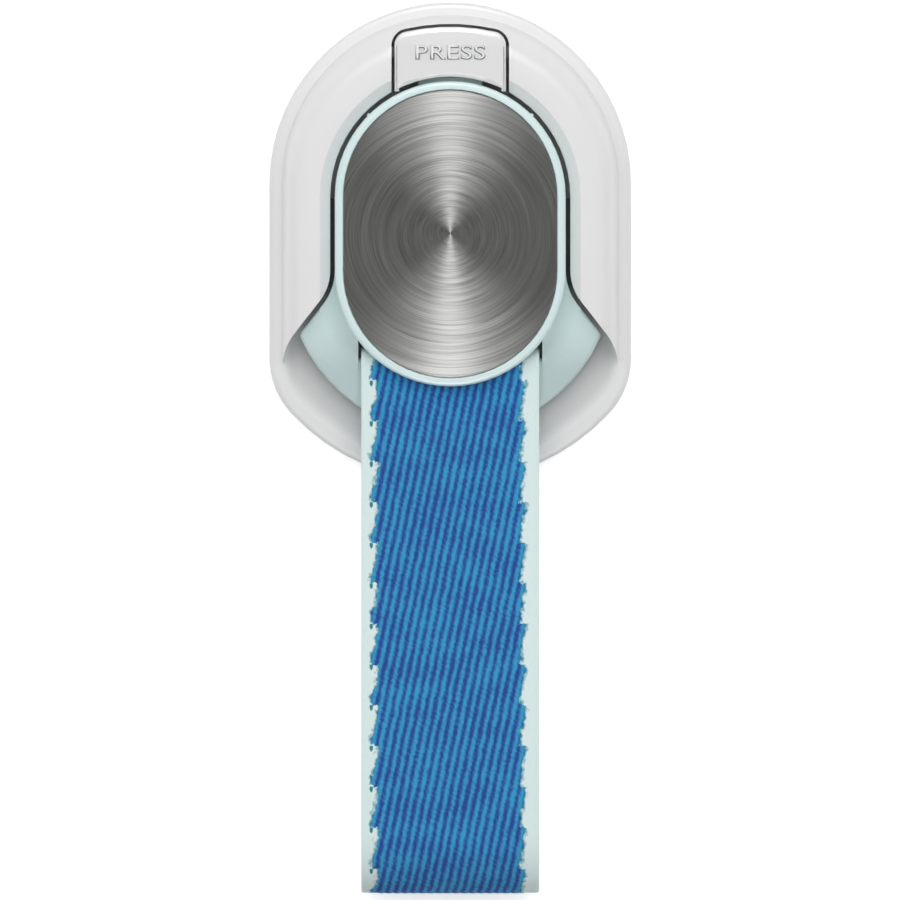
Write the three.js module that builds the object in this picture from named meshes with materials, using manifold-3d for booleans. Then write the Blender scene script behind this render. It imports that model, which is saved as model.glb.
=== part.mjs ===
// Phone finger strap: a latched strap carriage in a housing that sticks to the back of a phone.
// Millimetres. +Z points out of the phone's back, +Y along the phone away from the strap's loop.
// The origin is on the adhesive face, under the middle of the steel plate.

import * as THREE from 'three';
import { mergeVertices } from 'three/addons/utils/BufferGeometryUtils.js';
import Module from 'manifold-3d';

const wasm = await Module();
wasm.setup();

// Housing outline, seen from above
const HOUSING_HALF_WIDTH = 16.3;
const HOUSING_TOP_CENTRE_Y = 4.55;
const HOUSING_BOTTOM_RADIUS = 19.6;
const HOUSING_BOTTOM_CENTRE_Y = -2.8;
const HOUSING_CORNER_RADIUS = 7.3;

// Housing heights and walls
const PAD_THICKNESS = 0.8;
const PAD_INSET = 0.8;
const FLOOR_THICKNESS = 0.9;
const RIM_HEIGHT = 0.3;
const RIM_WIDTH = 1.15;
const FLOOR_EDGE = 0.15;
const DISH_WIDTH = 1.4;
const CREST_HEIGHT = 5.3;
const CREST_WIDTH = 1.8;
const CHAMFER_WIDTH = 0.93;
const CHAMFER_DEPTH = 1.0;
const SLOPE_START_ANGLE = 0.3;

// Oval ring of the carriage and the steel plate in it
const RING_RADIUS = 10.38;
const RING_TOP_CENTRE_Y = 3.3;
const RING_BOTTOM_CENTRE_Y = -3.4;
const RING_LIP_WIDTH = 0.76;
const RING_LIP_PROUD = 0.15;
const RING_EDGE_RADIUS = 0.4;
const RING_FILLET = 1.9;
const PLATE_THICKNESS = 0.8;
const PLATE_CLEARANCE = 0.08;
const PLATE_EDGE = 0.12;
const CAP_FLOOR_THICKNESS = 0.6;

// Wings of the carriage and the flare of the housing's legs
const FLARE_START_Y = -3.3;
const FLARE_RADIUS = 5;
const FLARE_ANGLE = 38 * Math.PI / 180;
const WING_RADIUS = 14.8;
const WING_CENTRE_Y = -3.3;
const WING_TIP_RADIUS = 0.55;
const WING_EDGE_RADIUS = 0.3;
const LEG_TIP_RADIUS = 5.3;
const BAY_CLEARANCE = 0.42;
const SLIDE_CLEARANCE = 0.2;

// Webbing strap, its bar and its slot
const STRAP_WIDTH = 16;
const STRAP_THICKNESS = 0.9;
const STRAP_CLEARANCE = 0.15;
const STRAP_END_Y = -59.4;
const STRAP_LOOP_HEIGHT = 8.45;
const STRAP_BEND_LENGTH = 5.4;
const STRAP_DROP_LENGTH = 8;
const STRAP_SIDE_CLEARANCE = 0.28;
const BAR_THICKNESS = 1.4;
const BAR_TOP_Y = -11.2;
const SLOT_WIDTH = 2.15;

// Twill ribs of the webbing; in one run a rib leans over by one pitch
const TWILL_PITCH = 0.755;
const TWILL_RUN = 3.63;
const TWILL_RIBS = 18;
const TWILL_HEIGHT = 0.1;
const TWILL_LEFT_X = -7.38;

// Guide ribs of the carriage in the housing's grooves
const RIB_REACH = 0.55;
const RIB_HEIGHT = 0.9;
const RIB_ABOVE_BOTTOM = 0.8;
const RIB_TOP_Y = 3.2;
const RIB_BOTTOM_Y = -4.6;
const RIB_CLEARANCE = 0.15;
const NUB_RADIUS = 0.17;
const NUB_ANGLE = 135 * Math.PI / 180;

// Button
const BUTTON_HALF_WIDTH = 5;
const BUTTON_LENGTH = 4.47;
const BUTTON_TOP_RADIUS = 18.45;
const BUTTON_CORNER_RADIUS = 1.26;
const BUTTON_EDGE_BREAK = 0.06;
const BUTTON_BAND_WIDTH = 0.5;
const BUTTON_BAND_DEPTH = 0.22;
const BUTTON_SIDE_BAND = 0.14;
const BUTTON_LIP_BAND = 0.3;
const BUTTON_SEAM_WIDTH = 0.1;
const BUTTON_SEAM_DEPTH = 0.3;
const BUTTON_SEAM_FROM_TOP = 1.75;
const BUTTON_CLEARANCE = 0.29;
const BUTTON_CAP_THICKNESS = 1.4;
const BUTTON_WALL = 0.7;
const BUTTON_TRAVEL = 1;
const BUTTON_STOP_CLEARANCE = 0.2;
const BUTTON_FLOOR_THICKNESS = 0.6;
const ARM_WIDTH = 0.4;
const ARM_CLEARANCE = 0.15;
const LUG_REACH = 0.45;
const LUG_LENGTH = 1;
const LUG_HEIGHT = 0.8;
const LUG_FROM_TOP = 2.2;
const LUG_TOP_GAP = 0.03;

// Latch: a tongue with a window on the carriage, a bar with a tooth on the button
const TONGUE_HALF_WIDTH = 2.85;
const TONGUE_THICKNESS = 1;
const TONGUE_REACH = 1.8;
const WINDOW_HALF_WIDTH = 1.6;
const WINDOW_LENGTH = 0.8;
const WINDOW_BRIDGE = 0.65;
const TOOTH_CLEARANCE = 0.1;
const TOOTH_ENGAGEMENT = 0.7;
const TOOTH_TIP = 0.2;
const LATCH_BAR_THICKNESS = 0.8;
const LATCH_BAR_CLEARANCE = 0.3;

// Spring under the button
const SPRING_RADIUS = 0.82;
const SPRING_WIRE_RADIUS = 0.12;
const SPRING_TURNS = 6;
const SPRING_FROM_TOP = 1.78;
const SPRING_PIN_RADIUS = 0.5;
const SPRING_PIN_HEIGHT = 0.7;
const SPRING_SEAT_GAP = 0.03;

// Hollow underside of the carriage
const CARRIAGE_WALL = 1.3;
const CORE_ROOF = 1.1;

// Facets
const ARC_STEP = 6 * Math.PI / 180;
const SLOPE_STEPS = 6;
const EDGE_STEPS = 3;
const FILLET_STEPS = 5;
const DISH_STEPS = 4;
const BUTTON_LOWER_STEPS = 10;
const STRAP_DROP_STEPS = 8;
const STRAP_RISE_STEPS = 12;
const TWILL_TURN = 18 * Math.PI / 180;
const TURN_SAMPLES = 8;
const SPRING_STEPS_PER_TURN = 14;
const SPRING_SIDES = 6;
const CUT_OVERLAP = 0.02;

// Heights and places that follow
const floorBottom = PAD_THICKNESS;
const floorTop = floorBottom + FLOOR_THICKNESS;
const rimTop = floorTop + RIM_HEIGHT;
const crestTop = floorTop + CREST_HEIGHT;
const carriageBottom = rimTop + SLIDE_CLEARANCE;
const bayRadius = RING_RADIUS + BAY_CLEARANCE;
const crestRadius = bayRadius + CHAMFER_WIDTH + CREST_WIDTH;

const strapInnerRadius = BAR_THICKNESS / 2 + STRAP_CLEARANCE;
const strapOuterRadius = strapInnerRadius + STRAP_THICKNESS;
const barMiddleZ = carriageBottom + strapOuterRadius;
const barMiddleY = BAR_TOP_Y - BAR_THICKNESS / 2;
const barTop = barMiddleZ + BAR_THICKNESS / 2;
const barBottom = barMiddleZ - BAR_THICKNESS / 2;
const capBottom = barMiddleZ + strapOuterRadius + STRAP_CLEARANCE;
const pocketFloor = capBottom + CAP_FLOOR_THICKNESS;
const plateTop = pocketFloor + PLATE_THICKNESS;
const ringTop = plateTop + RING_LIP_PROUD;
const pocketRadius = RING_RADIUS - RING_LIP_WIDTH;
const plateRadius = pocketRadius - PLATE_CLEARANCE;

const buttonFloor = floorBottom + BUTTON_FLOOR_THICKNESS;
const skirtBottom = buttonFloor + BUTTON_TRAVEL + BUTTON_STOP_CLEARANCE;
const latchBarTop = skirtBottom + LATCH_BAR_THICKNESS;
const tongueBottom = latchBarTop + LATCH_BAR_CLEARANCE;
const tongueTop = tongueBottom + TONGUE_THICKNESS;
const capUnderside = tongueTop + BUTTON_STOP_CLEARANCE + BUTTON_TRAVEL;
const buttonTop = capUnderside + BUTTON_CAP_THICKNESS;
const buttonTopY = RING_TOP_CENTRE_Y + bayRadius + BUTTON_LENGTH;
const lugY = buttonTopY - LUG_FROM_TOP;
const springY = buttonTopY - SPRING_FROM_TOP;
const tongueEndY = RING_TOP_CENTRE_Y + RING_RADIUS + TONGUE_REACH;
const windowTopY = tongueEndY - WINDOW_BRIDGE;
const windowBottomY = windowTopY - WINDOW_LENGTH;
const armInnerX = BUTTON_HALF_WIDTH - ARM_WIDTH;
const armEndY = RING_TOP_CENTRE_Y + Math.sqrt((RING_RADIUS + ARM_CLEARANCE) ** 2 - armInnerX ** 2);

// Points and shapes

function arc(centreX, centreY, radius, from, to, pieces) {
  const steps = pieces ?? Math.max(2, Math.ceil(Math.abs(to - from) / ARC_STEP));
  const points = [];
  for (let i = 0; i <= steps; i += 1) {
    const angle = from + (to - from) * i / steps;
    points.push(new THREE.Vector2(
      centreX + radius * Math.cos(angle),
      centreY + radius * Math.sin(angle),
    ));
  }
  return points;
}

function mirrored(points) {
  return points.map((point) => new THREE.Vector2(-point.x, point.y)).reverse();
}

function stadium(radius) {
  return [
    ...arc(0, RING_TOP_CENTRE_Y, radius, 0, Math.PI),
    ...arc(0, RING_BOTTOM_CENTRE_Y, radius, Math.PI, 2 * Math.PI),
  ];
}

// A half-round top, straight sides, rounded corners and a shallow arc below
function shieldOutline(halfWidth, topCentreY, cornerRadius, bottomRadius) {
  const cornerX = halfWidth - cornerRadius;
  const reach = bottomRadius - cornerRadius;
  const drop = Math.sqrt(reach * reach - cornerX * cornerX);
  const cornerY = HOUSING_BOTTOM_CENTRE_Y - drop;
  const meet = Math.atan2(-drop, cornerX);
  return [
    ...arc(0, topCentreY, halfWidth, 0, Math.PI),
    ...arc(-cornerX, cornerY, cornerRadius, Math.PI, Math.PI - meet),
    ...arc(0, HOUSING_BOTTOM_CENTRE_Y, bottomRadius, -Math.PI - meet, meet).slice(1, -1),
    ...arc(cornerX, cornerY, cornerRadius, meet, 0),
  ];
}

function housingOutline(inset) {
  return shieldOutline(
    HOUSING_HALF_WIDTH - inset,
    HOUSING_TOP_CENTRE_Y,
    HOUSING_CORNER_RADIUS - inset,
    HOUSING_BOTTOM_RADIUS - inset,
  );
}

// The ridge's crest is concentric with the bay, not with the housing
function crestOutline() {
  const inset = HOUSING_HALF_WIDTH - crestRadius;
  return shieldOutline(
    crestRadius,
    RING_TOP_CENTRE_Y,
    HOUSING_CORNER_RADIUS - inset,
    HOUSING_BOTTOM_RADIUS - inset,
  );
}

// The left flank that the carriage and the bay share, from the straight side down to the wing
function flank(gap) {
  const centreX = -RING_RADIUS - FLARE_RADIUS;
  return arc(centreX, FLARE_START_Y, FLARE_RADIUS - gap, 0, -FLARE_ANGLE);
}

// Solids

function toSolid(geometry) {
  geometry.deleteAttribute('normal');
  geometry.deleteAttribute('uv');
  const merged = mergeVertices(geometry, 1e-4);
  return new wasm.Manifold(new wasm.Mesh({
    numProp: 3,
    vertProperties: new Float32Array(merged.attributes.position.array),
    triVerts: new Uint32Array(merged.index.array),
  }));
}

function toGeometry(solid) {
  const mesh = solid.getMesh();
  const geometry = new THREE.BufferGeometry();
  geometry.setAttribute('position', new THREE.BufferAttribute(new Float32Array(mesh.vertProperties), 3));
  geometry.setIndex(new THREE.BufferAttribute(new Uint32Array(mesh.triVerts), 1));
  geometry.computeVertexNormals();
  return geometry;
}

function prism(points, bottom, top) {
  const geometry = new THREE.ExtrudeGeometry(new THREE.Shape(points), {
    depth: top - bottom,
    bevelEnabled: false,
  });
  geometry.translate(0, 0, bottom);
  return toSolid(geometry);
}

function box(minX, maxX, minY, maxY, minZ, maxZ) {
  const geometry = new THREE.BoxGeometry(maxX - minX, maxY - minY, maxZ - minZ);
  geometry.translate((minX + maxX) / 2, (minY + maxY) / 2, (minZ + maxZ) / 2);
  return toSolid(geometry);
}

// A profile in Y and Z drawn out along X, symmetric about the middle plane
function sideProfile(points, halfWidth, hole) {
  const shape = new THREE.Shape(points);
  if (hole) {
    shape.holes.push(new THREE.Path(hole));
  }
  const geometry = new THREE.ExtrudeGeometry(shape, { depth: 2 * halfWidth, bevelEnabled: false });
  geometry.rotateY(Math.PI / 2);
  geometry.rotateX(Math.PI / 2);
  geometry.translate(-halfWidth, 0, 0);
  return toSolid(geometry);
}

function upright(x, y, radius, bottom, top) {
  return prism(arc(x, y, radius, 0, 2 * Math.PI).slice(1), bottom, top);
}

// A closed skin through outlines of the same number of points, each at its own height
function loft(layers) {
  const count = layers[0].points.length;
  const positions = [];
  for (const layer of layers) {
    for (const point of layer.points) {
      positions.push(point.x, point.y, layer.z);
    }
  }
  const faces = [];
  for (let k = 0; k < layers.length - 1; k += 1) {
    for (let i = 0; i < count; i += 1) {
      const next = (i + 1) % count;
      const low = k * count;
      const high = low + count;
      faces.push(low + i, low + next, high + next);
      faces.push(low + i, high + next, high + i);
    }
  }
  const last = (layers.length - 1) * count;
  for (const [a, b, c] of THREE.ShapeUtils.triangulateShape(layers[0].points, [])) {
    faces.push(a, c, b);
  }
  for (const [a, b, c] of THREE.ShapeUtils.triangulateShape(layers[layers.length - 1].points, [])) {
    faces.push(last + a, last + b, last + c);
  }
  const geometry = new THREE.BufferGeometry();
  geometry.setAttribute('position', new THREE.Float32BufferAttribute(positions, 3));
  geometry.setIndex(faces);
  return toSolid(geometry);
}

// Level at both ends, from 0 to 1
function smooth(share) {
  return (1 - Math.cos(share * Math.PI)) / 2;
}

function blend(from, to, share) {
  return from.map((point, i) => point.clone().lerp(to[i], share));
}

// Layers of a quarter-round top edge; outlineAt gives the outline at an inset
function roundedEdge(outlineAt, top, radius) {
  const layers = [];
  for (let i = 0; i <= EDGE_STEPS; i += 1) {
    const angle = Math.PI / 2 * i / EDGE_STEPS;
    layers.push({
      z: top - radius * (1 - Math.sin(angle)),
      points: outlineAt(radius * (1 - Math.cos(angle))),
    });
  }
  return layers;
}

// Housing

function floorPlate() {
  return loft([
    { z: floorBottom, points: housingOutline(FLOOR_EDGE) },
    { z: floorBottom + FLOOR_EDGE, points: housingOutline(0) },
    ...roundedEdge(housingOutline, rimTop, RIM_WIDTH / 2),
  ]);
}

// Steep at the foot and level at the crest
function ridge() {
  const foot = housingOutline(RIM_WIDTH);
  const crest = crestOutline();
  const start = SLOPE_START_ANGLE;
  const layers = [{ z: floorTop - RIM_HEIGHT, points: foot }];
  for (let i = 0; i <= SLOPE_STEPS; i += 1) {
    const angle = start + (Math.PI / 2 - start) * i / SLOPE_STEPS;
    const inward = 1 - Math.cos(angle) / Math.cos(start);
    const upward = (Math.sin(angle) - Math.sin(start)) / (1 - Math.sin(start));
    layers.push({
      z: rimTop + (crestTop - rimTop) * upward,
      points: blend(foot, crest, inward),
    });
  }
  return loft(layers);
}

// The open bay, from its half-round head down the flared legs and out of the mouth
function bayOutline() {
  const legX = HOUSING_HALF_WIDTH - RIM_WIDTH;
  const legTurnX = -legX + LEG_TIP_RADIUS;
  const flare = flank(BAY_CLEARANCE);
  const lineStart = flare[flare.length - 1];
  const turnX = legTurnX - LEG_TIP_RADIUS * Math.cos(FLARE_ANGLE);
  const turnY = lineStart.y - (lineStart.x - turnX) / Math.tan(FLARE_ANGLE);
  const turnCentreY = turnY - LEG_TIP_RADIUS * Math.sin(FLARE_ANGLE);
  const leg = arc(legTurnX, turnCentreY, LEG_TIP_RADIUS, Math.PI - FLARE_ANGLE, Math.PI);
  const mouthY = turnCentreY - 2;
  const outsideX = -2 * HOUSING_HALF_WIDTH;
  const left = [
    ...flare,
    ...leg,
    new THREE.Vector2(-legX, mouthY),
    new THREE.Vector2(outsideX, mouthY),
    new THREE.Vector2(outsideX, 2 * STRAP_END_Y),
  ];
  return [
    ...arc(0, RING_TOP_CENTRE_Y, bayRadius, 0, Math.PI),
    ...left,
    ...mirrored(left),
  ];
}

// The floor dips gently behind the rim
function dish() {
  const outside = housingOutline(-RIM_WIDTH);
  const layers = [];
  for (let i = 0; i <= DISH_STEPS; i += 1) {
    const share = i / DISH_STEPS;
    layers.push({
      z: floorTop + (RIM_HEIGHT + CUT_OVERLAP) * smooth(share),
      points: housingOutline(RIM_WIDTH + DISH_WIDTH * (1 - share)),
    });
  }
  layers.push({ z: rimTop + 2 * CUT_OVERLAP, points: outside });
  layers.push({ z: 2 * crestTop, points: outside });
  return loft(layers);
}

function bay() {
  return prism(bayOutline(), floorTop - RIM_HEIGHT, 2 * crestTop).intersect(dish());
}

function bayChamfer() {
  const grow = CHAMFER_WIDTH * CUT_OVERLAP / CHAMFER_DEPTH;
  const reach = (radius) => [
    ...arc(0, RING_TOP_CENTRE_Y, radius, 0, Math.PI),
    new THREE.Vector2(-radius, STRAP_END_Y),
    new THREE.Vector2(radius, STRAP_END_Y),
  ];
  return loft([
    { z: crestTop - CHAMFER_DEPTH, points: reach(bayRadius) },
    { z: crestTop, points: reach(bayRadius + CHAMFER_WIDTH) },
    { z: crestTop + CUT_OVERLAP, points: reach(bayRadius + CHAMFER_WIDTH + grow) },
  ]);
}

function guideGrooves() {
  const bottom = carriageBottom + RIB_ABOVE_BOTTOM - RIB_CLEARANCE;
  const halfWidth = bayRadius + RIB_REACH;
  return box(
    -halfWidth, halfWidth,
    STRAP_END_Y, RIB_TOP_Y + RIB_CLEARANCE,
    bottom, bottom + RIB_HEIGHT + 2 * RIB_CLEARANCE,
  );
}

// Outline of the button with its hollow lower edge, which carries on the line of the bay's wall
function buttonOutline(inset, topInset = inset, lipInset = inset) {
  const halfWidth = BUTTON_HALF_WIDTH - inset;
  const arcCentreY = buttonTopY - BUTTON_TOP_RADIUS - (topInset - inset);
  const cornerX = BUTTON_HALF_WIDTH - BUTTON_CORNER_RADIUS;
  const reach = BUTTON_TOP_RADIUS - BUTTON_CORNER_RADIUS;
  const rise = Math.sqrt(reach * reach - cornerX * cornerX);
  const corner = arc(
    cornerX, arcCentreY + rise, BUTTON_CORNER_RADIUS - inset, 0, Math.atan2(rise, cornerX),
  );
  const lowerRadius = bayRadius + lipInset;
  const lowerAngle = Math.acos(halfWidth / lowerRadius);
  const topAngle = Math.atan2(rise, cornerX);
  return [
    ...corner,
    ...arc(0, arcCentreY, BUTTON_TOP_RADIUS - inset, topAngle, Math.PI - topAngle).slice(1, -1),
    ...mirrored(corner),
    ...arc(0, RING_TOP_CENTRE_Y, lowerRadius, Math.PI - lowerAngle, lowerAngle, BUTTON_LOWER_STEPS),
  ];
}

// The button's slot is open towards the bay, with a pocket at each side for the button's lugs
function buttonSlot() {
  const halfWidth = BUTTON_HALF_WIDTH + BUTTON_CLEARANCE;
  const well = prism([
    new THREE.Vector2(-halfWidth, armEndY - BUTTON_CLEARANCE),
    new THREE.Vector2(halfWidth, armEndY - BUTTON_CLEARANCE),
    ...buttonOutline(-BUTTON_CLEARANCE).filter((point) => point.y > lugY),
  ], buttonFloor, 2 * crestTop);
  const lugHalfWidth = halfWidth + LUG_REACH;
  const lugHalfLength = LUG_LENGTH / 2 + BUTTON_CLEARANCE;
  const lugRoom = box(
    -lugHalfWidth, lugHalfWidth,
    lugY - lugHalfLength, lugY + lugHalfLength,
    buttonFloor, skirtBottom + LUG_HEIGHT + LUG_TOP_GAP,
  );
  return well.add(lugRoom);
}

function springPin(bottom, top) {
  return upright(0, springY, SPRING_PIN_RADIUS, bottom, top);
}

function baseHousing() {
  return floorPlate()
    .add(ridge())
    .subtract(bay())
    .subtract(bayChamfer())
    .subtract(guideGrooves())
    .subtract(buttonSlot())
    .add(springPin(buttonFloor - CUT_OVERLAP, buttonFloor + SPRING_PIN_HEIGHT));
}

function adhesivePad() {
  return prism(housingOutline(PAD_INSET), 0, PAD_THICKNESS);
}

// Button with skirt, arms, lugs and the latch bar

// The face is bounded by a sloping band, broad along the top and narrow at the sides
function buttonCap() {
  const face = buttonOutline(BUTTON_SIDE_BAND, BUTTON_BAND_WIDTH, BUTTON_LIP_BAND);
  const bandFoot = buttonTop - BUTTON_BAND_DEPTH;
  return loft([
    { z: skirtBottom, points: buttonOutline(0) },
    { z: bandFoot - BUTTON_EDGE_BREAK, points: buttonOutline(0) },
    { z: bandFoot, points: buttonOutline(BUTTON_EDGE_BREAK) },
    { z: buttonTop, points: face },
  ]);
}

// Narrow seams part the face from the strip that carries each arm
function buttonSeam(side) {
  const outer = side * (BUTTON_HALF_WIDTH - BUTTON_SIDE_BAND);
  const inner = outer - side * BUTTON_SEAM_WIDTH;
  return box(
    Math.min(inner, outer), Math.max(inner, outer),
    RING_TOP_CENTRE_Y, buttonTopY - BUTTON_SEAM_FROM_TOP,
    buttonTop - BUTTON_SEAM_DEPTH, 2 * buttonTop,
  );
}

// Everything inside the skirt, open below and towards the carriage
function buttonHollow() {
  const inner = buttonOutline(BUTTON_WALL).filter((point) => point.y > lugY);
  const halfWidth = BUTTON_HALF_WIDTH - BUTTON_WALL;
  return prism([
    new THREE.Vector2(-halfWidth, RING_TOP_CENTRE_Y),
    new THREE.Vector2(halfWidth, RING_TOP_CENTRE_Y),
    ...inner,
  ], 0, capUnderside);
}

// The arms run on past the cap, down to the ring
function buttonArm(side) {
  const near = side * armInnerX;
  const far = side * BUTTON_HALF_WIDTH;
  return box(
    Math.min(near, far), Math.max(near, far),
    armEndY, lugY,
    skirtBottom, capUnderside + BUTTON_CAP_THICKNESS / 2,
  );
}

function buttonLug(side) {
  const near = side * (BUTTON_HALF_WIDTH - BUTTON_WALL / 2);
  const far = side * (BUTTON_HALF_WIDTH + LUG_REACH);
  return box(
    Math.min(near, far), Math.max(near, far),
    lugY - LUG_LENGTH / 2, lugY + LUG_LENGTH / 2,
    skirtBottom, skirtBottom + LUG_HEIGHT,
  );
}

// The bar passes under the tongue; its tooth stands in the window, steep on the side that holds
function latchBar() {
  const halfWidth = BUTTON_HALF_WIDTH - BUTTON_WALL / 2;
  const holdY = windowTopY - TOOTH_CLEARANCE;
  const rampY = windowBottomY + TOOTH_CLEARANCE;
  const toothTop = tongueBottom + TOOTH_ENGAGEMENT;
  const bar = box(
    -halfWidth, halfWidth,
    windowBottomY - TOOTH_CLEARANCE, windowTopY + TOOTH_CLEARANCE,
    skirtBottom, latchBarTop,
  );
  const tooth = sideProfile([
    new THREE.Vector2(rampY, skirtBottom + LATCH_BAR_THICKNESS / 2),
    new THREE.Vector2(holdY, skirtBottom + LATCH_BAR_THICKNESS / 2),
    new THREE.Vector2(holdY, toothTop),
    new THREE.Vector2(holdY - TOOTH_TIP, toothTop),
    new THREE.Vector2(rampY, latchBarTop),
  ], WINDOW_HALF_WIDTH - TOOTH_CLEARANCE);
  return bar.add(tooth);
}

function pressButton() {
  return buttonCap()
    .subtract(buttonHollow())
    .add(buttonArm(-1))
    .add(buttonArm(1))
    .add(buttonLug(-1))
    .add(buttonLug(1))
    .add(latchBar())
    .add(springPin(capUnderside - SPRING_PIN_HEIGHT, capUnderside + CUT_OVERLAP))
    .subtract(buttonSeam(-1))
    .subtract(buttonSeam(1));
}

class SpringCurve extends THREE.Curve {
  getPoint(t, target = new THREE.Vector3()) {
    const bottom = buttonFloor + SPRING_SEAT_GAP + SPRING_WIRE_RADIUS;
    const top = capUnderside - SPRING_SEAT_GAP - SPRING_WIRE_RADIUS;
    const angle = t * SPRING_TURNS * 2 * Math.PI;
    return target.set(
      SPRING_RADIUS * Math.cos(angle),
      springY + SPRING_RADIUS * Math.sin(angle),
      bottom + (top - bottom) * t,
    );
  }
}

function buttonSpring() {
  const section = new THREE.Shape(arc(0, 0, SPRING_WIRE_RADIUS, 0, 2 * Math.PI, SPRING_SIDES).slice(1));
  const geometry = new THREE.ExtrudeGeometry(section, {
    extrudePath: new SpringCurve(),
    steps: SPRING_TURNS * SPRING_STEPS_PER_TURN,
    bevelEnabled: false,
  });
  return toSolid(geometry);
}

// Carriage

function ringBlock() {
  return loft([
    { z: carriageBottom, points: stadium(RING_RADIUS) },
    ...roundedEdge((inset) => stadium(RING_RADIUS - inset), ringTop, RING_EDGE_RADIUS),
  ]);
}

function platePocket() {
  return loft([
    { z: pocketFloor, points: stadium(pocketRadius) },
    { z: plateTop, points: stadium(pocketRadius) },
    { z: ringTop, points: stadium(pocketRadius + RING_LIP_PROUD / 2) },
    { z: 2 * ringTop, points: stadium(pocketRadius + RING_LIP_PROUD / 2) },
  ]);
}

// The hollow blend between the ring's wall and the wings, clear of the strap's slot
function ringFillet() {
  const layers = [{ z: carriageBottom, points: stadium(RING_RADIUS + RING_FILLET) }];
  for (let i = 0; i <= FILLET_STEPS; i += 1) {
    const angle = Math.PI / 2 * i / FILLET_STEPS;
    layers.push({
      z: barTop + RING_FILLET * (1 - Math.cos(angle)),
      points: stadium(RING_RADIUS + RING_FILLET * (1 - Math.sin(angle))),
    });
  }
  const halfSlot = STRAP_WIDTH / 2 + STRAP_SIDE_CLEARANCE;
  return loft(layers)
    .intersect(prism(wingOutline(0), carriageBottom, ringTop))
    .subtract(box(-halfSlot, halfSlot, STRAP_END_Y, -STRAP_END_Y, 0, ringTop));
}

// Left and right wings meet in one arc below, which is also the strap bar's lower edge
function wingOutline(inset) {
  const flare = flank(-inset);
  const start = flare[flare.length - 1];
  const alongX = -Math.sin(FLARE_ANGLE);
  const alongY = -Math.cos(FLARE_ANGLE);
  // The tip's circle touches the flank's line and the wing's arc from inside
  const tipRadius = WING_TIP_RADIUS - inset;
  const inX = start.x - alongY * tipRadius;
  const inY = start.y + alongX * tipRadius - WING_CENTRE_Y;
  const reach = WING_RADIUS - WING_TIP_RADIUS;
  const half = inX * alongX + inY * alongY;
  const run = -half + Math.sqrt(half * half - inX * inX - inY * inY + reach * reach);
  const tipX = inX + run * alongX;
  const tipY = inY + run * alongY;
  const tipAngle = Math.atan2(tipY, tipX) + 2 * Math.PI;
  const tip = arc(tipX, tipY + WING_CENTRE_Y, tipRadius, Math.PI - FLARE_ANGLE, tipAngle);
  return [
    ...flare,
    ...tip,
    ...arc(0, WING_CENTRE_Y, WING_RADIUS - inset, tipAngle, 3 * Math.PI - tipAngle).slice(1, -1),
    ...mirrored(tip),
    ...mirrored(flare),
  ];
}

function wings() {
  return loft([
    { z: carriageBottom, points: wingOutline(0) },
    ...roundedEdge(wingOutline, barTop, WING_EDGE_RADIUS),
  ]);
}

// Room for the strap round its bar: the slot above the bar and the relief under it
function strapRoom() {
  const halfWidth = STRAP_WIDTH / 2 + STRAP_SIDE_CLEARANCE;
  const slotTopY = BAR_TOP_Y + SLOT_WIDTH;
  const bar = sideProfile([
    ...arc(barMiddleY, barMiddleZ, BAR_THICKNESS / 2, -Math.PI / 2, Math.PI / 2),
    new THREE.Vector2(2 * STRAP_END_Y, barTop),
    new THREE.Vector2(2 * STRAP_END_Y, barBottom),
  ], 2 * halfWidth);
  return box(-halfWidth, halfWidth, STRAP_END_Y, slotTopY, 0, capBottom).subtract(bar);
}

// Under the ring's overhang nothing stands above the wings
function overhangRoom() {
  const slotTopY = BAR_TOP_Y + SLOT_WIDTH;
  return box(
    -HOUSING_HALF_WIDTH, HOUSING_HALF_WIDTH,
    STRAP_END_Y, slotTopY,
    0, capBottom,
  );
}

function tongue() {
  const ramp = TONGUE_THICKNESS / 2;
  const profile = sideProfile([
    new THREE.Vector2(RING_TOP_CENTRE_Y + RING_RADIUS - CARRIAGE_WALL, tongueBottom),
    new THREE.Vector2(tongueEndY - ramp, tongueBottom),
    new THREE.Vector2(tongueEndY, tongueBottom + ramp),
    new THREE.Vector2(tongueEndY, tongueTop),
    new THREE.Vector2(RING_TOP_CENTRE_Y + RING_RADIUS - CARRIAGE_WALL, tongueTop),
  ], TONGUE_HALF_WIDTH);
  const opening = box(
    -WINDOW_HALF_WIDTH, WINDOW_HALF_WIDTH, windowBottomY, windowTopY, 0, 2 * tongueTop,
  );
  return profile.subtract(opening);
}

function guideRibs() {
  const bottom = carriageBottom + RIB_ABOVE_BOTTOM;
  const halfWidth = bayRadius + RIB_REACH - RIB_CLEARANCE;
  const core = RING_RADIUS - CARRIAGE_WALL / 2;
  const both = box(-halfWidth, halfWidth, RIB_BOTTOM_Y, RIB_TOP_Y, bottom, bottom + RIB_HEIGHT);
  return both.subtract(box(-core, core, STRAP_END_Y, -STRAP_END_Y, 0, ringTop));
}

function locatingNubs() {
  const reach = RING_RADIUS - NUB_RADIUS / 4;
  const across = reach * Math.cos(NUB_ANGLE);
  const along = RING_TOP_CENTRE_Y + reach * Math.sin(NUB_ANGLE);
  const top = ringTop - RING_EDGE_RADIUS;
  return upright(across, along, NUB_RADIUS, barTop, top)
    .add(upright(-across, along, NUB_RADIUS, barTop, top));
}

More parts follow.
